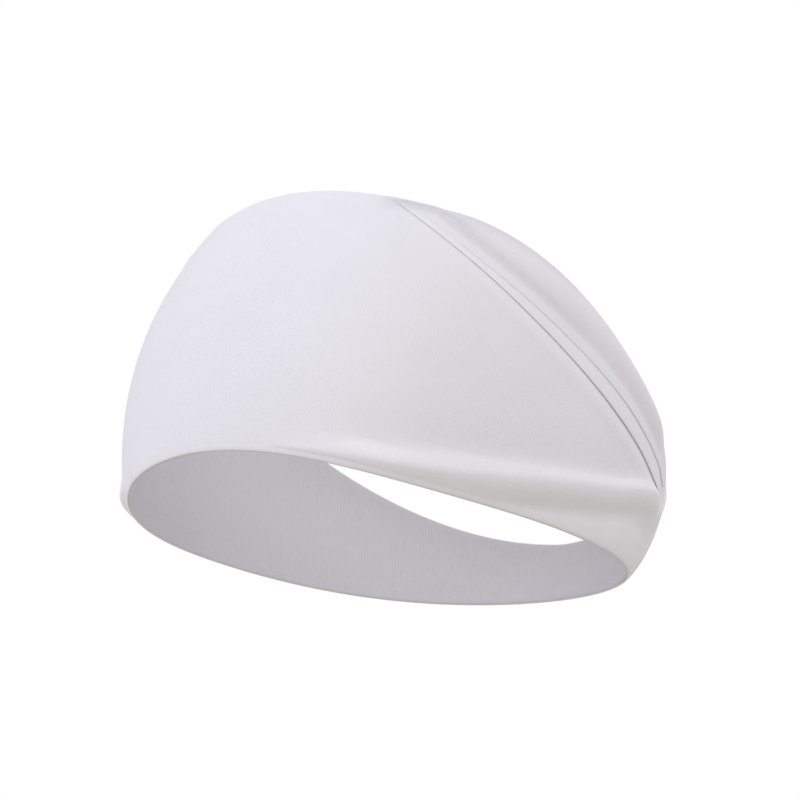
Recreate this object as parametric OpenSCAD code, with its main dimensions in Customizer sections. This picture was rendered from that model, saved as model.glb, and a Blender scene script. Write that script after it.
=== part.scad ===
// Wide stretch headband: a pleated outer front panel and a narrow outer back band, joined behind
// the ears and backed by one ribbed lining. It stands as it would sit on a head, open above and
// below. X runs across the head, -Y is the front, +Z is up. Angles go round the band from the
// middle of the back (0) past the left ear (90) to the middle of the front (180).

/* [Overall size] */
// Half the length of the head opening, front to back
half_length = 90; // [75:1:108]
// Half the width of the head opening, side to side
half_width = 82.6; // [68:0.1:99]
// Height of the band at the front and crown
crown_height = 99.4; // [81:0.1:118]
// Height of the band at the middle of the back
back_height = 24.4; // [20:0.1:30]
// How far the lower edge rises at the middle of the forehead
front_rise = 10.2; // [0:0.1:14]

/* [Outline of the lower edge] */
// How much wider the opening is behind the ears than in front of them
back_fullness = 0.055; // [0:0.005:0.1]
// How square the sides are
side_squareness = 0.031; // [0:0.001:0.06]
// How square the front and back are
end_squareness = 0.01; // [0:0.001:0.04]
// How far forward of the middle the sides stand
side_forward = 4.4; // [0:0.1:8]

/* [Lean of the wall] */
// Height that the lean of the wall is stated for
lean_height = 85.2; // [80:0.1:100]
// Outward flare of the sides
side_flare = 0.427; // [0.2:0.001:0.5]
// Draw-in of the sides
side_draw = 0.289; // [0.2:0.001:0.4]
// Extra draw-in of the sides close to the crown
side_crown_draw = 0.082; // [0:0.001:0.12]
// Outward flare of the front
front_flare = 0.067; // [0:0.001:0.2]
// Draw-in of the front
front_draw = 0.248; // [0.1:0.001:0.35]
// Outward flare of the back
back_flare = 0.769; // [0.3:0.001:0.85]
// Draw-in of the back
back_draw = 1.273; // [0.5:0.001:1.4]

/* [Height round the band] */
// Angle from the middle of the back where the height starts to grow
rise_from = -9; // [-20:1:10]
// Angle where the full height is reached
rise_to = 127; // [110:1:150]
// How late the height grows
rise_delay = 1.2; // [1:0.01:1.6]

/* [Cloth] */
// Thickness of the outer cloth
outer_cloth = 0.8; // [0.5:0.05:1.1]
// Thickness of the lining
lining_cloth = 0.8; // [0.5:0.05:1.1]
// Room between the two layers
core = 1; // [0.8:0.05:1.4]
// Height of the rolled upper and lower edges
edge_roll = 1; // [0.8:0.1:1.6]
// Gap between neighbouring layers
layer_gap = 0.15; // [0.1:0.01:0.2]
// Width of the turned-in seam allowances
allowance_width = 4.5; // [3:0.5:5.5]

/* [Joins and pleats] */
// Angle of the two joins behind the ears
join_angle = 46; // [38:0.1:56]
// Angle where the pleats leave the upper edge
pleat_top = 140; // [128:1:146]
// Angle between a join and the end of its pleats
pleat_stop = 10; // [6:1:14]
// Height of the lower pleat's middle above the lower edge at that end
pleat_end_height = 29.5; // [26:0.5:33]
// Width of each pleat
pleat_width = 5.5; // [3:0.1:6]
// How far the outermost pleat stands off the panel
pleat_thickness = 0.7; // [0.4:0.05:1]

/* [Elastic] */
// Gap between the elastic and the seam allowances above and below it
elastic_gap = 0.4; // [0.2:0.1:1]
// Angle between each end of the elastic and the join
elastic_stop = 7; // [6:1:12]

/* [Stitches] */
// Radius of the sewing thread
thread_r = 0.2; // [0.15:0.01:0.25]
// Length of one stitch
stitch = 2.4; // [2:0.1:3]
// Number of stitches shown along each edge
edge_stitches = 60; // [40:1:90]

/* [Hidden] */

angle_step = 4;
join_gap_angle = 0.15;
tiny = 0.01;
thread_sides = 16;
pleat_steps = 26;
flap_steps = 4;
flap_clear_angle = 0.8;
panel_rows = 16;
back_rows = 9;
pleat_gap = 0.6;
pleat_fan_angle = 22;

// Offsets of the layers from the middle of the wall, outward positive
outer_in = core / 2;
outer_out = outer_in + outer_cloth;
lining_out = -core / 2;
lining_in = lining_out - lining_cloth;
core_out = outer_in - layer_gap;
core_in = lining_out + layer_gap;
edge_clear = edge_roll + 4 * thread_r + layer_gap;
allowance_angle = allowance_width / half_width * 180 / PI;
pleat_end = join_angle + pleat_stop;
elastic_end = join_angle - elastic_stop;
elastic_width = back_height - 2 * (edge_clear + allowance_width + elastic_gap);

white = [0.93, 0.93, 0.95];
shade = [0.84, 0.84, 0.86];
thread = [0.97, 0.97, 0.97];

function smooth(t) = let(c = min(max(t, 0), 1)) c * c * (3 - 2 * c);
function mix(a, b, t) = a + (b - a) * t;

// Height of the band at angle a
function from_back(a) = acos(cos(a));
function band_height(a) =
    let(t = min(max((from_back(a) - rise_from) / (rise_to - rise_from), 0), 1))
    mix(back_height, crown_height, smooth(pow(t, rise_delay)));

// Lower edge at angle a
function rim(a) = [
    half_width * (1 + back_fullness * cos(a)) * (sin(a) + side_squareness * sin(3 * a)),
    half_length * (cos(a) - end_squareness * cos(3 * a)) / (1 - end_squareness)
        - side_forward * pow(sin(a), 2),
    front_rise * pow(max(-cos(a), 0), 3)];

// Middle of the wall at angle a and height h above the lower edge
function wall(a, h) =
    let(u = h / lean_height,
        across = 1 + side_flare * u - side_draw * pow(u, 2) - side_crown_draw * pow(u, 4),
        front = 1 + front_flare * u - front_draw * pow(u, 2),
        back = 1 + back_flare * u - back_draw * pow(u, 2),
        r = rim(a))
    [r.x * across, r.y * mix(front, back, smooth((1 + cos(a)) / 2)), r.z + h];

// The same point moved outward through the wall by d
function outward(a, h) =
    let(t = wall(a + 0.5, h) - wall(a - 0.5, h)) [-t.y, t.x, 0] / norm([t.x, t.y]);
function lean(a, h, n) = (wall(a, h + 0.5) - wall(a, h - 0.5)) * n;
function skin(a, h, d) =
    let(n = outward(a, h)) wall(a, h) + n * d * sqrt(1 + pow(lean(a, h, n), 2));

// Every layer has a station at each whole angle_step, so that neighbouring layers keep their gap
function angles(from, to) =
    let(first = ceil(from / angle_step + 0.25), last = floor(to / angle_step - 0.25))
    concat([from], [for (i = [first:last]) i * angle_step], [to]);
ring_angles = [for (a = [0:angle_step:360 - angle_step]) a];

// The whole band is centred over its own outline and stands on its lower edge
outline = [for (a = ring_angles, t = [0:1 / (panel_rows - 1):1])
    skin(a, band_height(a) * t, outer_out)];
centre_y = (min([for (p = outline) p.y]) + max([for (p = outline) p.y])) / 2;
function place(p) = p - [0, centre_y, 0];

// A cloth layer round the band. Each row is [share of the height, plus this, outer face,
// inner face]; closed joins the last angle to the first.
module cloth(at, rows, closed = false) {
    layer([for (a = at) [for (r = rows)
        let(h = r[0] * band_height(a) + r[1]) [skin(a, h, r[2]), skin(a, h, r[3])]]], closed);
}

// A solid through stations of paired outer and inner points
module layer(stations, closed = false) {
    n = len(stations);
    k = len(stations[0]);
    points = [for (s = stations) each concat([for (p = s) place(p[0])],
                                             [for (i = [k - 1:-1:0]) place(s[i][1])])];
    m = 2 * k;
    last = closed ? n - 1 : n - 2;
    sides = [for (i = [0:last], j = [0:m - 1])
        let(a = i * m + j, b = i * m + (j + 1) % m, c = ((i + 1) % n) * m + j,
            d = ((i + 1) % n) * m + (j + 1) % m)
        each [[a, b, d], [a, d, c]]];
    caps = closed ? [] : [for (j = [0:k - 2])
        let(a = j, b = j + 1, c = m - 2 - j, d = m - 1 - j, e = (n - 1) * m)
        each [[a, d, c], [a, c, b], [e + a, e + b, e + c], [e + a, e + c, e + d]]];
    polyhedron(points, concat(sides, caps));
}

// Rows of an outer layer, whose two edges roll in over the lining
function rolled_rows(n) = concat(
    [[0, 0, outer_out, lining_in], [0, edge_roll - tiny, outer_out, lining_in]],
    [for (i = [0:n - 1]) let(t = i / (n - 1))
        [t, edge_roll * (1 - 2 * t), outer_out, outer_in]],
    [[1, tiny - edge_roll, outer_out, lining_in], [1, 0, outer_out, lining_in]]);

module front_panel() {
    color(white)
        cloth(angles(join_angle + join_gap_angle, 360 - join_angle - join_gap_angle),
              rolled_rows(panel_rows));
}

module back_band() {
    color(white)
        cloth(angles(-join_angle + join_gap_angle, join_angle - join_gap_angle),
              rolled_rows(back_rows));
}

module lining() {
    inset = edge_roll + layer_gap;
    color(shade)
        cloth(ring_angles, [for (i = [0:panel_rows - 1]) let(t = i / (panel_rows - 1))
            [t, inset * (1 - 2 * t), lining_out, lining_in]], closed = true);
}

// The pleats narrow together over the first part of their run, next to the join
function fan(a) = mix(0.5, 1, smooth((a - pleat_end) / pleat_fan_angle));

// One pleat of the front panel. Its middle runs straight from the join to the upper edge;
// side is 1 on the left and -1 on the right, and level counts the pleats from the lower one,
// which the upper one partly lies over.
module pleat(side, level) {
    top_height = band_height(pleat_top) - edge_roll - layer_gap - pleat_width / 2;
    slope = (top_height - pleat_end_height) / (pleat_top - pleat_end);
    step = level * (pleat_width + pleat_gap);
    base = outer_out + layer_gap;
    height = pleat_thickness * (1 + level) / 2;
    stations = [for (i = [0:pleat_steps]) let(t = i / pleat_steps)
        let(a = mix(pleat_end, pleat_top - step / slope, t),
            h = pleat_end_height + slope * (a - pleat_end) + step * fan(a),
            w = pleat_width / 2 * fan(a))
        [for (q = [-1:0.5:1])
            let(at = side * a, up = h + q * w, crest = height * (1 - q * q) + layer_gap)
            [skin(at, up, base + crest), skin(at, up, base)]]];
    layer(side > 0 ? stations : [for (i = [pleat_steps:-1:0]) stations[i]]);
}

module left_over_pleat() { color(white) pleat(1, 1); }
module left_under_pleat() { color(white) pleat(1, 0); }
module right_over_pleat() { color(white) pleat(-1, 1); }
module right_under_pleat() { color(white) pleat(-1, 0); }

module back_elastic() {
    color(thread)
        cloth(angles(-elastic_end, elastic_end),
              [for (q = [-0.5:0.25:0.5]) [0.5, q * elastic_width, core_out, core_in]]);
}

// The turned-in edges of the cloth, inside the wall
module upper_edge_allowance() {
    color(white)
        cloth(ring_angles, [for (q = [1:-0.5:0])
            [1, -edge_clear - q * allowance_width, core_out, core_in]], closed = true);
}

module lower_edge_allowance() {
    color(white)
        cloth(ring_angles, [for (q = [0:0.5:1])
            [0, edge_clear + q * allowance_width, core_out, core_in]], closed = true);
}

// Two flaps at a join, pressed open to both sides of its stitches
module join_flaps(at, face_out, face_in) {
    low = edge_clear + allowance_width + layer_gap;
    for (way = [-1, 1]) {
        near = at + way * flap_clear_angle;
        far = near + way * allowance_angle;
        from = min(near, far);
        cloth([for (i = [0:flap_steps]) from + allowance_angle * i / flap_steps],
              [for (t = [0:0.25:1]) [t, low * (1 - 2 * t), face_out, face_in]]);
    }
}

module left_join_allowance() { color(white) join_flaps(join_angle, core_out, layer_gap / 2); }
module right_join_allowance() { color(white) join_flaps(-join_angle, core_out, layer_gap / 2); }
module lining_seam_allowance() { color(shade) join_flaps(join_angle, -layer_gap / 2, core_in); }

// A run of thread between two points
module thread_bar(p, q) {
    v = q - p;
    translate(place(p))
        rotate([0, acos(v.z / norm(v)), atan2(v.y, v.x)])
            cylinder(h = norm(v), r = thread_r, $fn = thread_sides);
}

module join_stitches(at) {
    low = edge_clear + allowance_width;
    last = band_height(at) - low - stitch;
    count = floor((last - low) / (1.3 * stitch));
    middle = (core_out + layer_gap / 2) / 2;
    for (i = [0:count]) {
        h = mix(low, last, i / count);
        thread_bar(skin(at, h, middle), skin(at, h + stitch, middle));
    }
}

module edge_run(share, up) {
    turn = 360 / edge_stitches;
    for (i = [0:edge_stitches - 1]) {
        a = i * turn;
        b = a + turn * 0.7;
        thread_bar(skin(a, share * band_height(a) + up, 0), skin(b, share * band_height(b) + up, 0));
    }
}

module upper_edge_stitches() {
    color(thread) edge_run(1, -edge_roll - layer_gap - 2 * thread_r);
}

module lower_edge_stitches() {
    color(thread) edge_run(0, edge_roll + layer_gap + 2 * thread_r);
}

module left_join_stitches() { color(thread) join_stitches(join_angle); }
module right_join_stitches() { color(thread) join_stitches(-join_angle); }

// Thread down each end of the elastic
module elastic_stitches() {
    color(thread)
        for (side = [-1, 1], q = [-1, 0, 1]) {
            at = side * (elastic_end + 0.6);
            mid = band_height(at) / 2 + q * elastic_width / 3;
            thread_bar(skin(at, mid - stitch / 2, 0), skin(at, mid + stitch / 2, 0));
        }
}

front_panel();
left_over_pleat();
left_under_pleat();
right_over_pleat();
right_under_pleat();
back_band();
lining();
back_elastic();
upper_edge_allowance();
lower_edge_allowance();
left_join_allowance();
right_join_allowance();
lining_seam_allowance();
upper_edge_stitches();
lower_edge_stitches();
left_join_stitches();
right_join_stitches();
elastic_stitches();
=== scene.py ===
import math

import bmesh
import bpy
import numpy as np
from mathutils import Matrix, Vector


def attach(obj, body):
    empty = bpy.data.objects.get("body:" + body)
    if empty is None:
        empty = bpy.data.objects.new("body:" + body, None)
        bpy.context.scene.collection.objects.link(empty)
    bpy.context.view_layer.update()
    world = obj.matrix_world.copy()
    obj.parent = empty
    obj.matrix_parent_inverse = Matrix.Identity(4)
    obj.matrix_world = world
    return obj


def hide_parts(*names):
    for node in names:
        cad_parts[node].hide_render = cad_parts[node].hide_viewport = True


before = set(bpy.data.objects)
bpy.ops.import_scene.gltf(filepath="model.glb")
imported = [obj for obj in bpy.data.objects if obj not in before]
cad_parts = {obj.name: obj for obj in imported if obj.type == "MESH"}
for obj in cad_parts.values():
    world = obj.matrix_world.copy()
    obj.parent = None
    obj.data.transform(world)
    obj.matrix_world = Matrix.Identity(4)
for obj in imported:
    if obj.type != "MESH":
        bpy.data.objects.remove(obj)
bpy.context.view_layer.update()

MM = 0.001

# ---------------------------------------------------------------- shape of the band, in millimetres
HALF_LENGTH, HALF_WIDTH = 90.0, 82.6
CROWN_HEIGHT, BACK_HEIGHT, FRONT_RISE = 99.4, 24.4, 10.2
BACK_FULLNESS, SIDE_SQUARENESS, END_SQUARENESS, SIDE_FORWARD = 0.055, 0.031, 0.01, 4.4
LEAN_HEIGHT = 85.2
SIDE_FLARE, SIDE_DRAW, SIDE_CROWN_DRAW = 0.427, 0.289, 0.082
FRONT_FLARE, FRONT_DRAW = 0.067, 0.248
BACK_FLARE, BACK_DRAW = 0.769, 1.273
RISE_FROM, RISE_TO, RISE_DELAY = -9.0, 127.0, 1.2
OUTER_IN, OUTER_OUT = 0.5, 1.3
LINING_OUT, LINING_IN = -0.5, -1.3
JOIN = 46.0


def smooth(t):
    c = np.clip(t, 0, 1)
    return c * c * (3 - 2 * c)


def mix(a, b, t):
    return a + (b - a) * t


def from_back(a):
    """Angle from the middle of the back, the same on both sides."""
    return np.degrees(np.arccos(np.clip(np.cos(np.radians(a)), -1, 1)))


def band_height(a):
    t = np.clip((from_back(a) - RISE_FROM) / (RISE_TO - RISE_FROM), 0, 1)
    return mix(BACK_HEIGHT, CROWN_HEIGHT, smooth(t ** RISE_DELAY))


def wall(a, h):
    """Middle of the band's wall at angle a, in degrees, and height h above the lower edge."""
    r = np.radians(a)
    c, s = np.cos(r), np.sin(r)
    x = HALF_WIDTH * (1 + BACK_FULLNESS * c) * (s + SIDE_SQUARENESS * np.sin(3 * r))
    y = HALF_LENGTH * (c - END_SQUARENESS * np.cos(3 * r)) / (1 - END_SQUARENESS) - SIDE_FORWARD * s * s
    z = FRONT_RISE * np.maximum(-c, 0) ** 3
    u = h / LEAN_HEIGHT
    across = 1 + SIDE_FLARE * u - SIDE_DRAW * u ** 2 - SIDE_CROWN_DRAW * u ** 4
    front = 1 + FRONT_FLARE * u - FRONT_DRAW * u ** 2
    back = 1 + BACK_FLARE * u - BACK_DRAW * u ** 2
    return np.stack([x * across, y * mix(front, back, smooth((1 + c) / 2)), z + h], -1)


def skin(a, h, d):
    """The wall's point moved outward through the cloth by d."""
    t = wall(a + 0.5, h) - wall(a - 0.5, h)
    n = np.stack([-t[..., 1], t[..., 0], 0 * t[..., 0]], -1)
    n /= np.linalg.norm(n, axis=-1, keepdims=True)
    lean = ((wall(a, h + 0.5) - wall(a, h - 0.5)) * n).sum(-1)
    return wall(a, h) + n * (d * np.sqrt(1 + lean ** 2))[..., None]


def outline_middle():
    a, t = np.meshgrid(np.arange(0, 360, 4.0), np.linspace(0, 1, 16))
    y = skin(a, t * band_height(a), OUTER_OUT)[..., 1]
    return (y.max() + y.min()) / 2


CENTRE_Y = outline_middle()


# ---------------------------------------------------------------- fold lines of the front panel
def line(points, x):
    """A smooth line through given points, with straight ends."""
    px = np.array([p[0] for p in points], float)
    py = np.array([p[1] for p in points], float)
    slope = np.gradient(py, px)
    i = np.clip(np.searchsorted(px, x) - 1, 0, len(px) - 2)
    w = px[i + 1] - px[i]
    t = (x - px[i]) / w
    c = np.clip(t, 0, 1)
    inside = ((2 * c ** 3 - 3 * c ** 2 + 1) * py[i] + (c ** 3 - 2 * c ** 2 + c) * w * slope[i]
              + (3 * c ** 2 - 2 * c ** 3) * py[i + 1] + (c ** 3 - c ** 2) * w * slope[i + 1])
    return inside + np.where(t < 0, t * w * slope[0], 0) + np.where(t > 1, (t - 1) * w * slope[-1], 0)


# Each line gives the height above the lower edge at m degrees from the middle of the back
def lower_crease(m):
    return line([(46, 16.5), (60, 28), (80, 43.5), (105, 63.5), (130, 85), (150, 102)], m)


def upper_crease(m):
    return line([(46, 26), (60, 35), (75, 46.5), (100, 64.5), (125, 83.5), (150, 105)], m)


# How far each crease stands out: full behind the ear, fading towards the crown
def lower_size(m):
    return line([(46, 0.74), (75, 0.68), (100, 0.45), (115, 0.4), (130, 0.34), (180, 0.25)], m)


def upper_size(m):
    return line([(46, 0.75), (70, 0.65), (88, 0.45), (100, 0.36), (120, 0.28), (130, 0.16), (180, 0.1)], m)


def ridge_line(m):
    """The bright upper side of the soft fold."""
    return line([(46, 30), (56, 27.5), (76, 20.5), (100, 14.5), (140, 7), (160, 4), (180, 3.5)], m)


def valley_line(m):
    """The hollow below the soft fold."""
    return ridge_line(m) - 10.5 * smooth((220 - m) / 90)


def higher(a, b, soft):
    """The larger of two values, blended where they are within about soft of each other."""
    return 0.5 * (a + b + np.sqrt((a - b) ** 2 + soft ** 2))


def lower(a, b, soft):
    """The smaller of two values, blended likewise."""
    return 0.5 * (a + b - np.sqrt((a - b) ** 2 + soft ** 2))


def bump(x, width):
    """1 at x = 0, falling smoothly to nothing on both sides."""
    return np.exp(-(x / width) ** 2)


# ---------------------------------------------------------------- cloth made from a grid
SEAM_LENGTH = 0.002


def cloth(name, rows, u, v, close_round=False, painted_light=None):
    """A cloth piece from a grid of points: rows[i][j] is the point of station i, row j. The grid
    is welded where it closes, its open ends are filled, u and v are its own lengths in metres, and
    the last argument is painted on it as painted highlight and shade: 0.5 the knit's own tone, 1 fully
    paled, 0 fully dark."""
    n, k = rows.shape[:2]
    points = np.concatenate([rows, rows[:, :1]], 1)
    uu = np.concatenate([u, u[:, :1]], 1)
    vv = np.concatenate([v, v[:, -1:] + SEAM_LENGTH], 1)
    if close_round:
        points = np.concatenate([points, points[:1]], 0)
        uu = np.concatenate([uu, 2 * uu[-1:] - uu[-2:-1]], 0)
        vv = np.concatenate([vv, vv[:1]], 0)
    sx, sy = points.shape[0] - 1, points.shape[1] - 1
    bm = bmesh.new()
    bmesh.ops.create_grid(bm, x_segments=sx, y_segments=sy, size=1)
    layer = bm.loops.layers.uv.new("cloth")
    index = [(round((w.co.x + 1) / 2 * sx), round((w.co.y + 1) / 2 * sy)) for w in bm.verts]
    bm.verts.index_update()
    for face in bm.faces:
        face.smooth = True
        for loop in face.loops:
            i, j = index[loop.vert.index]
            loop[layer].uv = (uu[i, j], vv[i, j])
    # Painted highlight and shade, stored on each point of the cloth
    painted_light_layer = bm.verts.layers.float.new("painted_light")
    for w, (i, j) in zip(bm.verts, index):
        w.co = points[i, j] * MM - np.array([0, CENTRE_Y * MM, 0])
        w[painted_light_layer] = 0.5 if painted_light is None else painted_light[i % n, j % k]
    bmesh.ops.remove_doubles(bm, verts=bm.verts, dist=1e-7)
    if not close_round:
        bmesh.ops.holes_fill(bm, edges=[e for e in bm.edges if e.is_boundary], sides=0)
    bmesh.ops.recalc_face_normals(bm, faces=bm.faces)
    mesh = bpy.data.meshes.new(name)
    bm.to_mesh(mesh)
    bm.free()
    piece = bpy.data.objects.new(name, mesh)
    bpy.context.scene.collection.objects.link(piece)
    return piece


def lengths(points):
    """Running length along the rows of each station, in metres."""
    step = np.linalg.norm(np.diff(points, axis=1), axis=-1)
    return np.concatenate([np.zeros((points.shape[0], 1)), np.cumsum(step, 1)], 1) * MM


def round_lengths(a, k):
    """Running length round the band of each station, in metres, for k rows."""
    ring = wall(a, band_height(a) * 0.4)
    step = np.linalg.norm(np.diff(ring, axis=0), axis=-1)
    return np.repeat(np.concatenate([[0], np.cumsum(step)])[:, None], k, 1) * MM


# The outer cloth turns over both edges and meets the lining there: (height from the edge,
# offset from the wall), from the inside round to the outer face
EDGE_ROLL = [(1.0, 0.36), (0.55, 0.18), (0.2, 0.16), (0.05, 0.34), (0.03, 0.54), (0.14, 0.76),
             (0.42, 0.94), (0.9, 1.04), (1.4, 1.09), (1.9, 1.12)]
TOP_ROLL = [(1.0, -0.36), (0.55, -0.42), (0.2, -0.4), (0.02, -0.24), (0.0, -0.06)]
# and the lining's own edges turn out to meet it
LINING_ROLL = [(0.8, 0.12), (0.3, 0.12), (0.06, 0.06), (0.0, -0.2), (0.02, -0.55), (0.14, -0.9),
               (0.4, -1.14), (0.8, -1.24)]
LINING_TOP = [(0.8, -0.58), (0.4, -0.6), (0.14, -0.56), (0.06, -0.7), (0.12, -0.92), (0.3, -1.1),
              (0.55, -1.2), (0.8, -1.24)]


def face_offset(h, top):
    """Offset of the outer face, which rounds softly over towards both edges."""
    over = 1.27 * (1 - (1 - np.clip((top - h) / 4.6, 0, 1)) ** 2.2)
    return 0.04 + over - 0.36 * (1 - np.clip(h / 7.0, 0, 1)) ** 2


# Angles from the join at which the cloth's rounded end is shaped, and how far the rounding reaches
JOIN_STATIONS = (0.03, 0.08, 0.16, 0.26, 0.38, 0.54, 0.74, 1.0, 1.3)
JOIN_ROUND, JOIN_CLEAR = 0.75, 1.7

# The two crisp pleats. The cloth runs in under a pleat, turns back, and comes out as the pleat's own
# edge: (height when flat, height when folded, offset once folded), from the crease line
LOWER_FOLD = [(-2.9, -2.7, -0.02), (-1.9, -1.7, -0.1), (-1.2, -1.0, -0.24), (-0.7, -0.45, -0.38),
              (-0.35, 0.0, -0.46), (-0.1, 0.5, -0.48), (0.1, 0.95, -0.46), (0.25, 1.05, -0.32),
              (0.4, 0.8, -0.2), (0.55, 0.4, -0.14), (0.7, 0.14, -0.04), (0.85, 0.0, 0.14),
              (1.0, -0.02, 0.36), (1.2, 0.1, 0.58), (1.5, 0.4, 0.72), (1.9, 1.1, 0.8), (2.6, 2.1, 0.8)]
UPPER_FOLD = [(-1.3, -1.3, 0.0), (-0.8, -0.6, -0.03), (-0.45, -0.15, -0.06), (-0.2, 0.2, -0.1),
              (0.0, 0.5, -0.1), (0.15, 0.56, 0.0), (0.3, 0.36, 0.05), (0.45, 0.1, 0.1), (0.6, 0.0, 0.2),
              (0.8, 0.06, 0.36), (1.1, 0.35, 0.48), (1.5, 0.9, 0.52), (2.4, 2.0, 0.5)]
INNER_FACE = OUTER_IN + 0.03


class Rows:
    """Rows of a cloth piece, one after another round its section. Each has a height, an offset from
    the wall, and the share of the cloth's soft shapes that it takes, at every station."""

    def __init__(self, a):
        self.a = a
        self.h, self.d, self.ride = [], [], []

    def add(self, height, offset, ride=1.0):
        for kept, value in ((self.h, height), (self.d, offset), (self.ride, ride)):
            kept.append(value + 0 * self.a)

    def lower_edge(self, share):
        for height, offset in EDGE_ROLL:
            self.add(height, offset, np.clip((offset + 0.2) / 1.5, 0, 1) * share)

    def upper_edge(self, top):
        for below in (0.26, 0.15, 0.06):
            self.add(top - below, 0, 0.8)
        for below, offset in reversed(TOP_ROLL):
            self.add(top - below, offset, 0.0)

    def inner_face(self, top, count):
        """Ends the outer rows, and goes back down the inside. Gives the number of outer rows."""
        outer = len(self.h)
        for t in np.linspace(1, 0, count):
            self.add(mix(1.4, top - 1.4, t), INNER_FACE, 0.0)
        return outer

    def arrays(self, outer, top):
        """Heights, offsets and shares as station by row, with the outer face rounded."""
        h, d, ride = (np.array(kept).T for kept in (self.h, self.d, self.ride))
        face = slice(len(EDGE_ROLL), outer - len(TOP_ROLL))
        d[:, face] += face_offset(h[:, face], top)
        return h, d, ride


def turn_in(d, away):
    """The cloth's outer face rounds down into the seam at its end."""
    round_over = (1 - np.sqrt(1 - (1 - np.clip(away / JOIN_ROUND, 0, 1)) ** 2)) * 0.85
    return np.where(d > OUTER_IN, mix(d, np.minimum(d, OUTER_IN + 0.05), round_over), d)


def soft_fold(h, crest, aa, mm):
    """The soft fold above the lower edge: how far it makes the cloth stand out, and the painted highlight
    and shade that it puts on the knit. It starts nearer the middle of the front on the left side."""
    starts = np.where(aa > 180, 148, 163.5)
    size = smooth((starts - mm) / 17) * mix(0.3, 1, smooth((mm - 47) / 15))
    width = line([(46, 3.9), (70, 3.9), (106, 5.0), (124, 4.9), (140, 3.1), (155, 1.7), (165, 1.3),
                  (180, 1.3)], mm)
    high = line([(46, 1), (110, 1), (124, 0.86), (140, 0.47), (155, 0.26), (165, 0.18), (180, 0.18)], mm)
    above = high * (0.6 * bump(np.maximum(h - crest, 0), 24) + 2.6 * bump(h - crest, width))
    # Rounding over slowly below the crest and then steeply into a hollow just above the rim
    down = (crest - h) / np.minimum(8.2, crest - 0.9)
    under = 3.2 * high * (1 - smooth(np.maximum(down, 0) ** 1.5))
    under -= 0.5 * bump(down - 1.1, 0.28) * smooth((crest - 8) / 4)
    # Painted highlight above the crest and on the slope below it, painted shade in the hollow, paler again
    # towards the rim
    painted_light = mix(1.0, 1.5, smooth((mm - 85) / 30)) * size * bump(h - crest - 0.6 * width, 0.55 * width)
    painted_light += size * (0.3 * bump(down - 1.75, 0.5) - 0.15 * bump(down - 0.95, 0.35))
    painted_light += 0.6 * size * smooth((mm - 98) / 20) * bump(down - 0.65, 0.4)
    return size * np.where(h > crest, above, under), painted_light


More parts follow.
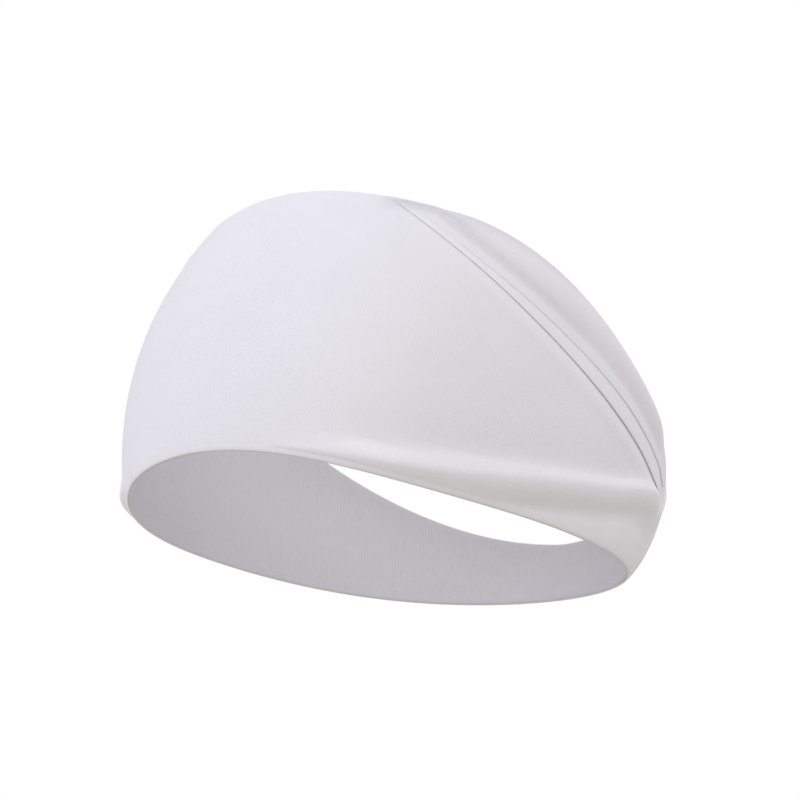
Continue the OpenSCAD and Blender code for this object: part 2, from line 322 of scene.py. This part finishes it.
def front_panel():
    """The front panel's cloth, with both pairs of crisp pleats and the soft folds."""
    close = JOIN + np.array(JOIN_STATIONS)
    middle = np.linspace(JOIN + JOIN_CLEAR, 360 - JOIN - JOIN_CLEAR, 443)
    a = np.concatenate([close, middle, 360 - close[::-1]])
    m = from_back(a)
    top = band_height(a)
    crest = higher(ridge_line(m) - line([(46, 9), (54, 7), (58, 4.4), (62, 3.2), (78, 3.4), (106, 4.4),
                                         (124, 4.6), (140, 3.2), (155, 1.8), (165, 1.4), (180, 1.4)], m),
                   3.0, 0.4)
    valley = lower(higher(valley_line(m), 2.4, 0.2), crest - 0.5, 0.1)
    low = lower(higher(lower_crease(m), crest + 1.3, 0.4), top - 1.9, 0.3)
    up = lower(higher(upper_crease(m), low + 1.8, 0.6), top - 1.6, 0.2)
    soft = lower(up + 7.4, top - 1.3, 0.1)
    gap = np.clip((up - low) / 6.6, 0.04, 1)
    before = gap * np.clip((low - crest) / 4.8, 0.2, 1)
    lower_fold = smooth((m - 55.3) / 1.2) * (1 - smooth((lower_crease(m) - top + 2.3) / 1.7))
    upper_fold = smooth((m - 50.6) / 1.4) * (1 - smooth((upper_crease(m) - top + 2.3) / 1.7))
    lower_stands = lower_fold * lower_size(m) * np.minimum(1, 4 * gap)
    upper_stands = upper_fold * upper_size(m) * np.minimum(1, 4 * gap)

    rows = Rows(a)
    rows.lower_edge(0.6)
    for t in np.linspace(0, 1, 6)[1:]:
        rows.add(mix(1.9, valley, t), 0)
    for t in np.linspace(0, 1, 11)[1:]:
        rows.add(mix(valley, crest, t), 0)
    for t in np.linspace(0, 1, 20)[1:]:
        rows.add(mix(crest, low - 4.2 * before, t ** 1.15), 0)
    for flat, folded, offset in LOWER_FOLD:
        rows.add(low + (before if flat < 0 else gap) * mix(flat, folded, lower_fold), offset * lower_stands)
    for t in (0.35, 0.7):
        rows.add(mix(low + 2.6 * gap, up - 1.3 * gap, t), mix(0.8, 0.5, t) * lower_stands)
    for flat, folded, offset in UPPER_FOLD:
        rows.add(up + gap * mix(flat, folded, upper_fold), 0.46 * lower_stands + offset * upper_stands)
    start = up + 2.4 * gap
    end = higher(soft, start, 0.05)
    for t in np.linspace(0, 1, 7)[1:]:
        rows.add(mix(start, end, t), (0.46 * lower_stands + 0.5 * upper_stands) * (1 - smooth(t)))
    for t in np.linspace(0, 1, 15)[1:]:
        rows.add(mix(end, top - 0.4, t), 0)
    rows.upper_edge(top)
    outer = rows.inner_face(top, 12)

    crest, low, up, soft, top, lower_fold = (x[:, None] for x in (crest, low, up, soft, top, lower_fold))
    h, d, ride = rows.arrays(outer, top)
    aa = np.repeat(a[:, None], h.shape[1], 1)
    mm = np.repeat(m[:, None], h.shape[1], 1)

    swell, painted_light = soft_fold(h, crest, aa, mm)
    # Fuller just below the lower pleat
    swell += 0.6 * lower_fold * bump(h - low + 4.6, 3.4)
    # A soft valley above the upper pleat, and a roll between it and the upper edge
    side = smooth((152 - mm) / 10) * smooth((mm - 50) / 10)
    swell -= mix(0.75, 1.05, smooth((top - soft - 6) / 4)) * side * bump(h - soft, 2.8)
    roll = (soft + top - 1.5) / 2 + 0.8
    swell += 1.7 * side * bump(h - roll, np.clip((top - soft) / 2.8, 1.2, 7))
    # Slight unevenness of cloth pulled over a curve
    swell += 0.10 * np.sin(0.075 * h + 0.061 * aa + 1.1) * np.sin(0.043 * aa - 0.05 * h)
    swell += 0.05 * np.sin(0.19 * h - 0.11 * aa) * np.sin(0.13 * aa + 0.07 * h + 0.6)
    inner = INNER_FACE + np.minimum(swell + 0.3, 0)
    d = np.where(np.arange(d.shape[1]) < outer, d + swell * ride, inner)

    # Painted light on the knit: painted highlight below the lower pleat and between the pleats, and painted
    # shade in the valley and towards the upper edge
    painted_light += lower_fold * (0.2 * bump(h - low + 2.6, 1.8) + 0.2 * (h > low) * (h < up))
    painted_light -= side * mix(0.5, 1.4, smooth((mm - 80) / 25)) * bump(h - soft + 0.5, 2.4)
    painted_shade_near_edge = smooth((h - top + 9) / 8) * smooth((h - soft) / 2.5)
    painted_light -= 0.9 * side * smooth((mm - 85) / 15) * painted_shade_near_edge

    points = skin(aa, h, turn_in(d, mm - JOIN))
    return cloth("front_panel_cloth", points, round_lengths(a, h.shape[1]), lengths(points),
                 painted_light=0.5 + 0.5 * painted_light)


def back_band():
    """The outer cloth at the nape."""
    close = JOIN - np.array(JOIN_STATIONS)
    middle = np.linspace(JOIN_CLEAR - JOIN, JOIN - JOIN_CLEAR, 223)
    a = np.concatenate([-close, middle, close[::-1]])
    top = band_height(a)
    rows = Rows(a)
    rows.lower_edge(0.5)
    for t in np.linspace(0, 1, 27)[1:]:
        rows.add(mix(1.9, top - 0.4, t), 0)
    rows.upper_edge(top)
    outer = rows.inner_face(top, 8)

    top = top[:, None]
    h, d, ride = rows.arrays(outer, top)
    aa = np.repeat(a[:, None], h.shape[1], 1)
    mm = from_back(aa)
    # The elastic draws the cloth into shallow upright puckers along the nape
    gather = smooth((40 - mm) / 12) * bump((h - top / 2) / (top * 0.42), 1.0)
    phase = aa * 1.45 + 1.2 * np.sin(aa * 0.21 + 0.5) + 0.05 * h
    swell = 0.24 * gather * (np.sin(phase) + 0.45 * np.sin(phase * 1.73 + 0.8))
    # The soft fold dies out just past the join
    crest = ridge_line(mm) - 2.4
    beside_join = smooth((top - h - 1) / 4) * (1 - smooth((JOIN - mm) / 5))
    swell += 0.9 * bump(h - crest, np.where(h > crest, 3.9, 6.5)) * beside_join
    swell += 0.22 * bump((h - top / 2) / (top * 0.4), 1.0)
    d = d + swell * ride
    d[:, outer:] = INNER_FACE
    points = skin(aa, h, turn_in(d, JOIN - mm))
    # Painted highlight on the knit where the puckers and the soft fold stand out, painted shade in the
    # puckers' hollows
    return cloth("back_band_cloth", points, round_lengths(a, h.shape[1]), lengths(points),
                 painted_light=0.5 + 0.3 * swell)


RIBS = 520
RIB_SHAPE = (0.0, 0.55, 1.0, 0.55)
RIB_DEPTH = 0.14


def lining():
    """The ribbed lining: upright ribs all round the inside, with its one seam behind an ear."""
    stations = RIBS * len(RIB_SHAPE)
    a = np.arange(stations) * 360.0 / stations
    top = band_height(a)
    wave = np.tile(np.array(RIB_SHAPE), RIBS)
    uneven = 1 + 0.14 * np.sin(a * 3.7 + 0.4) + 0.1 * np.sin(a * 11.3)
    seam = bump(a - JOIN, 0.28)
    h, d = [], []
    for e, o in LINING_ROLL:
        h.append(e + 0 * a)
        d.append(o - 0.03 * wave * uneven)
    for t in np.linspace(0, 1, 20)[1:-1]:
        h.append(mix(0.8, top - 0.8, t))
        d.append(LINING_IN + 0.08 - RIB_DEPTH * wave * uneven + 0.32 * seam)
    for e, o in reversed(LINING_TOP):
        h.append(top - e)
        d.append(o - 0.03 * wave * uneven)
    for t in np.linspace(1, 0, 5)[1:-1]:
        h.append(mix(0.6, top - 0.6, t))
        d.append(LINING_OUT + 0 * a)
    h, d = np.array(h).T, np.array(d).T
    aa = np.repeat(a[:, None], h.shape[1], 1)
    points = skin(aa, h, d)
    return cloth("lining_cloth", points, round_lengths(a, h.shape[1]), lengths(points), close_round=True)


# ---------------------------------------------------------------- materials
def new_group(name, inputs, outputs):
    group = bpy.data.node_groups.new(name, "ShaderNodeTree")
    for socket, kind in inputs:
        group.interface.new_socket(name=socket, in_out="INPUT", socket_type=kind)
    for socket, kind in outputs:
        group.interface.new_socket(name=socket, in_out="OUTPUT", socket_type=kind)
    return group


def node(tree, kind, **settings):
    made = tree.nodes.new(kind)
    for key, value in settings.items():
        if key in made.inputs.keys():
            made.inputs[key].default_value = value
        else:
            setattr(made, key, value)
    return made


def sums(tree, operation, a, b, clamp=False):
    made = tree.nodes.new("ShaderNodeMath")
    made.operation = operation
    made.use_clamp = clamp
    for socket, value in zip(made.inputs, (a, b)):
        if isinstance(value, (int, float)):
            socket.default_value = value
        elif value is not None:
            tree.links.new(value, socket)
    return made.outputs[0]


def knit_group():
    """Loops of a fine knit from the cloth's own lengths: rows of small V-shaped stitches."""
    g = new_group("knit_loops", [("Lengths", "NodeSocketVector"), ("Wale", "NodeSocketFloat"),
                                 ("Course", "NodeSocketFloat")],
                  [("Height", "NodeSocketFloat"), ("Wales", "NodeSocketFloat")])
    start, end = g.nodes.new("NodeGroupInput"), g.nodes.new("NodeGroupOutput")
    split = g.nodes.new("ShaderNodeSeparateXYZ")
    g.links.new(start.outputs["Lengths"], split.inputs[0])
    wobble = node(g, "ShaderNodeTexNoise", Scale=160.0, Detail=2.0)
    g.links.new(start.outputs["Lengths"], wobble.inputs["Vector"])
    drift = sums(g, "MULTIPLY", sums(g, "SUBTRACT", wobble.outputs["Fac"], 0.5), 2.2)
    turns = 2 * math.pi
    across = sums(g, "DIVIDE", split.outputs[0], start.outputs["Wale"])
    u = sums(g, "ADD", sums(g, "MULTIPLY", across, turns), drift)
    wales = sums(g, "ABSOLUTE", sums(g, "SINE", sums(g, "MULTIPLY", u, 0.5), None), None)
    lift = sums(g, "MULTIPLY", wales, 2.4)
    along = sums(g, "DIVIDE", split.outputs[1], start.outputs["Course"])
    v = sums(g, "MULTIPLY", along, turns)
    courses = sums(g, "SINE", sums(g, "ADD", sums(g, "ADD", v, lift), drift), None)
    height = sums(g, "ADD", sums(g, "MULTIPLY", wales, 0.6), sums(g, "MULTIPLY", courses, 0.3))
    g.links.new(height, end.inputs["Height"])
    g.links.new(wales, end.inputs["Wales"])
    return g


def mottle_group():
    """Faint unevenness of dyed cloth: a broad cloudy mask and a fine fibre mask."""
    g = new_group("cloth_mottle", [("Place", "NodeSocketVector")],
                  [("Clouds", "NodeSocketFloat"), ("Fibres", "NodeSocketFloat")])
    start, end = g.nodes.new("NodeGroupInput"), g.nodes.new("NodeGroupOutput")
    clouds = node(g, "ShaderNodeTexNoise", Scale=26.0, Detail=4.0, Roughness=0.6)
    fibres = node(g, "ShaderNodeTexNoise", Scale=1500.0, Detail=3.0, Roughness=0.7)
    for made, name in ((clouds, "Clouds"), (fibres, "Fibres")):
        g.links.new(start.outputs["Place"], made.inputs["Vector"])
        spread = node(g, "ShaderNodeMapRange")
        spread.inputs["From Min"].default_value = 0.3
        spread.inputs["From Max"].default_value = 0.7
        g.links.new(made.outputs["Fac"], spread.inputs["Value"])
        g.links.new(spread.outputs[0], end.inputs[name])
    return g


KNIT, MOTTLE = knit_group(), mottle_group()


def cloth_material(name, light, dark, wale, course, depth, sheen, tints=(0.35, 0.25), painted_light_amount=0.0,
                   measured_by="UV"):
    """A knit or woven cloth between two tones. Wale and course are the widths of its stitches and
    depth their relief, in metres; tints are the shares of its clouds and fibres in the tone, and
    the share after them is how far the painted highlight and shade stored on the cloth pale or darken it."""
    mat = bpy.data.materials.new(name)
    mat.use_nodes = True
    t = mat.node_tree
    shader = t.nodes["Principled BSDF"]
    coords = t.nodes.new("ShaderNodeTexCoord")
    knit = t.nodes.new("ShaderNodeGroup")
    knit.node_tree = KNIT
    knit.inputs["Wale"].default_value = wale
    knit.inputs["Course"].default_value = course
    t.links.new(coords.outputs[measured_by], knit.inputs["Lengths"])
    mottle = t.nodes.new("ShaderNodeGroup")
    mottle.node_tree = MOTTLE
    t.links.new(coords.outputs["Object"], mottle.inputs["Place"])
    share = sums(t, "ADD", sums(t, "MULTIPLY", mottle.outputs["Clouds"], tints[0]),
                 sums(t, "MULTIPLY", mottle.outputs["Fibres"], tints[1]))
    # Painted shade: the knit is a little darker between its wales, where the hollows between the stitch
    # columns are
    shade_between_wales = sums(t, "SUBTRACT", 1.0, knit.outputs["Wales"])
    share = sums(t, "ADD", share, sums(t, "MULTIPLY", shade_between_wales, 0.3), clamp=True)
    blend = t.nodes.new("ShaderNodeMix")
    blend.data_type = "RGBA"
    blend.inputs["A"].default_value = (*light, 1)
    blend.inputs["B"].default_value = (*dark, 1)
    t.links.new(share, blend.inputs["Factor"])
    colour = blend.outputs["Result"]
    if painted_light_amount:
        # The painted highlight and shade stored on the cloth pales or darkens its tone
        painted_light_attribute = t.nodes.new("ShaderNodeAttribute")
        painted_light_attribute.attribute_name = "painted_light"
        tone = t.nodes.new("ShaderNodeMapRange")
        tone.inputs["To Min"].default_value = 1 - painted_light_amount
        tone.inputs["To Max"].default_value = 1 + painted_light_amount
        t.links.new(painted_light_attribute.outputs["Fac"], tone.inputs["Value"])
        scaled = t.nodes.new("ShaderNodeVectorMath")
        scaled.operation = "SCALE"
        t.links.new(colour, scaled.inputs[0])
        t.links.new(tone.outputs[0], scaled.inputs["Scale"])
        colour = scaled.outputs[0]
    t.links.new(colour, shader.inputs["Base Color"])
    rough = node(t, "ShaderNodeMapRange")
    rough.inputs["To Min"].default_value = 0.78
    rough.inputs["To Max"].default_value = 0.92
    t.links.new(mottle.outputs["Fibres"], rough.inputs["Value"])
    t.links.new(rough.outputs[0], shader.inputs["Roughness"])
    height = sums(t, "ADD", knit.outputs["Height"], sums(t, "MULTIPLY", mottle.outputs["Fibres"], 0.35))
    relief = t.nodes.new("ShaderNodeBump")
    relief.inputs["Strength"].default_value = 0.5
    relief.inputs["Distance"].default_value = depth
    t.links.new(height, relief.inputs["Height"])
    t.links.new(relief.outputs[0], shader.inputs["Normal"])
    shader.inputs["Specular IOR Level"].default_value = 0.25
    shader.inputs["Sheen Weight"].default_value = sheen
    shader.inputs["Sheen Roughness"].default_value = 0.5
    return mat


outer_knit = cloth_material("smooth_stretch_knit", (0.890, 0.878, 0.942), (0.826, 0.814, 0.878),
                            0.0011, 0.0008, 0.00007, 0.12, tints=(0.4, 0.45), painted_light_amount=0.11)
rib_knit = cloth_material("rib_lining_knit", (0.748, 0.742, 0.796), (0.676, 0.670, 0.722),
                          0.00105, 0.0009, 0.00008, 0.08)
webbing = cloth_material("elastic_webbing", (0.80, 0.80, 0.80), (0.70, 0.70, 0.71),
                         0.0016, 0.0006, 0.0001, 0.1, measured_by="Object")
thread = cloth_material("sewing_thread", (0.82, 0.82, 0.84), (0.70, 0.70, 0.72),
                        0.0004, 0.0003, 0.00004, 0.15, measured_by="Object")
hidden_knit = cloth_material("turned_in_knit", (0.80, 0.79, 0.84), (0.72, 0.71, 0.76),
                             0.0011, 0.0008, 0.00006, 0.12, measured_by="Object")
hidden_rib = cloth_material("turned_in_rib", (0.66, 0.65, 0.69), (0.58, 0.57, 0.61),
                            0.00105, 0.0009, 0.00008, 0.08, measured_by="Object")


def wear(obj, material):
    obj.data.materials.clear()
    obj.data.materials.append(material)


# ---------------------------------------------------------------- the pieces
panel = front_panel()
band = back_band()
inside = lining()
for piece in (panel, band, inside):
    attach(piece, "root")
wear(panel, outer_knit)
wear(band, outer_knit)
wear(inside, rib_knit)
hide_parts("front_panel", "left_over_pleat", "left_under_pleat", "right_over_pleat",
            "right_under_pleat")
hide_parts("back_band")
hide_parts("lining")

for name in ("upper_edge_allowance", "lower_edge_allowance", "left_join_allowance",
             "right_join_allowance"):
    wear(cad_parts[name], hidden_knit)
wear(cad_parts["lining_seam_allowance"], hidden_rib)
wear(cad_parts["back_elastic"], webbing)
for name in ("upper_edge_stitches", "lower_edge_stitches", "left_join_stitches", "right_join_stitches",
             "elastic_stitches"):
    wear(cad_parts[name], thread)


# ---------------------------------------------------------------- stage, light and camera
def stage_material(name, tone):
    """Plain and matt."""
    mat = bpy.data.materials.new(name)
    mat.use_nodes = True
    shader = mat.node_tree.nodes["Principled BSDF"]
    shader.inputs["Base Color"].default_value = (*tone, 1)
    shader.inputs["Roughness"].default_value = 0.95
    return mat


FLOOR_RADIUS, FLOOR_DEPTH = 9.0, 0.42
bm = bmesh.new()
bmesh.ops.create_circle(bm, cap_ends=True, segments=96, radius=FLOOR_RADIUS)
floor_mesh = bpy.data.meshes.new("floor")
bm.to_mesh(floor_mesh)
bm.free()
floor = bpy.data.objects.new("floor", floor_mesh)
bpy.context.scene.collection.objects.link(floor)
floor_mesh.transform(Matrix.Translation((0, 0, -FLOOR_DEPTH)))
floor_mesh.materials.append(stage_material("pale_floor", (0.67, 0.64, 0.58)))

world = bpy.data.worlds.new("studio")
bpy.context.scene.world = world
world.use_nodes = True
wt = world.node_tree
wt.nodes.clear()
out = wt.nodes.new("ShaderNodeOutputWorld")
seen = node(wt, "ShaderNodeBackground", Color=(1, 1, 1, 1), Strength=1.0)
light_fill = node(wt, "ShaderNodeBackground", Color=(1, 0.995, 1, 1))
sky = wt.nodes.new("ShaderNodeTexCoord")
height = wt.nodes.new("ShaderNodeSeparateXYZ")
wt.links.new(sky.outputs["Generated"], height.inputs[0])
brighter = wt.nodes.new("ShaderNodeMapRange")
brighter.inputs["From Min"].default_value = 0.0
brighter.inputs["From Max"].default_value = 1.0
brighter.inputs["To Min"].default_value = 0.61
brighter.inputs["To Max"].default_value = 0.81
wt.links.new(height.outputs["Z"], brighter.inputs["Value"])
wt.links.new(brighter.outputs[0], light_fill.inputs["Strength"])
pick = wt.nodes.new("ShaderNodeMixShader")
path = wt.nodes.new("ShaderNodeLightPath")
wt.links.new(path.outputs["Is Camera Ray"], pick.inputs[0])
wt.links.new(light_fill.outputs[0], pick.inputs[1])
wt.links.new(seen.outputs[0], pick.inputs[2])
wt.links.new(pick.outputs[0], out.inputs[0])


def soft_light(name, place, size, power, colour):
    data = bpy.data.lights.new(name, "AREA")
    data.shape = "SQUARE"
    data.size = size
    data.energy = power
    data.color = colour
    lamp = bpy.data.objects.new(name, data)
    lamp.location = place
    lamp.rotation_euler = (-Vector(place)).to_track_quat("-Z", "Y").to_euler()
    bpy.context.scene.collection.objects.link(lamp)


soft_light("key_left", (-1.2, -2.6, 0.55), 1.4, 23, (0.85, 0.885, 1.0))
soft_light("top_right", (2.1, -0.5, 1.4), 1.6, 11.5, (1.0, 0.975, 0.95))

AIM_RIGHT, AIM_UP, DISTANCE = 0.0045, 0.0529, 1.0851
azimuth, elevation, roll = (math.radians(x) for x in (44.54, -15.82, 6.05))
away = Vector((math.sin(azimuth) * math.cos(elevation), -math.cos(azimuth) * math.cos(elevation),
               math.sin(elevation)))
level = Vector((math.cos(azimuth), math.sin(azimuth), 0))
upright = away.cross(level)
right = level * math.cos(roll) + upright * math.sin(roll)
up = upright * math.cos(roll) - level * math.sin(roll)
camera_data = bpy.data.cameras.new("camera")
camera_data.lens = 137.64
camera_data.sensor_width = 36
camera_data.clip_start = 0.01
camera = bpy.data.objects.new("camera", camera_data)
place = right * AIM_RIGHT + up * AIM_UP + away * DISTANCE
camera.matrix_world = Matrix.Translation(place) @ Matrix((right, up, away)).transposed().to_4x4()
bpy.context.scene.collection.objects.link(camera)
bpy.context.scene.camera = camera
bpy.context.scene.view_settings.view_transform = "Standard"
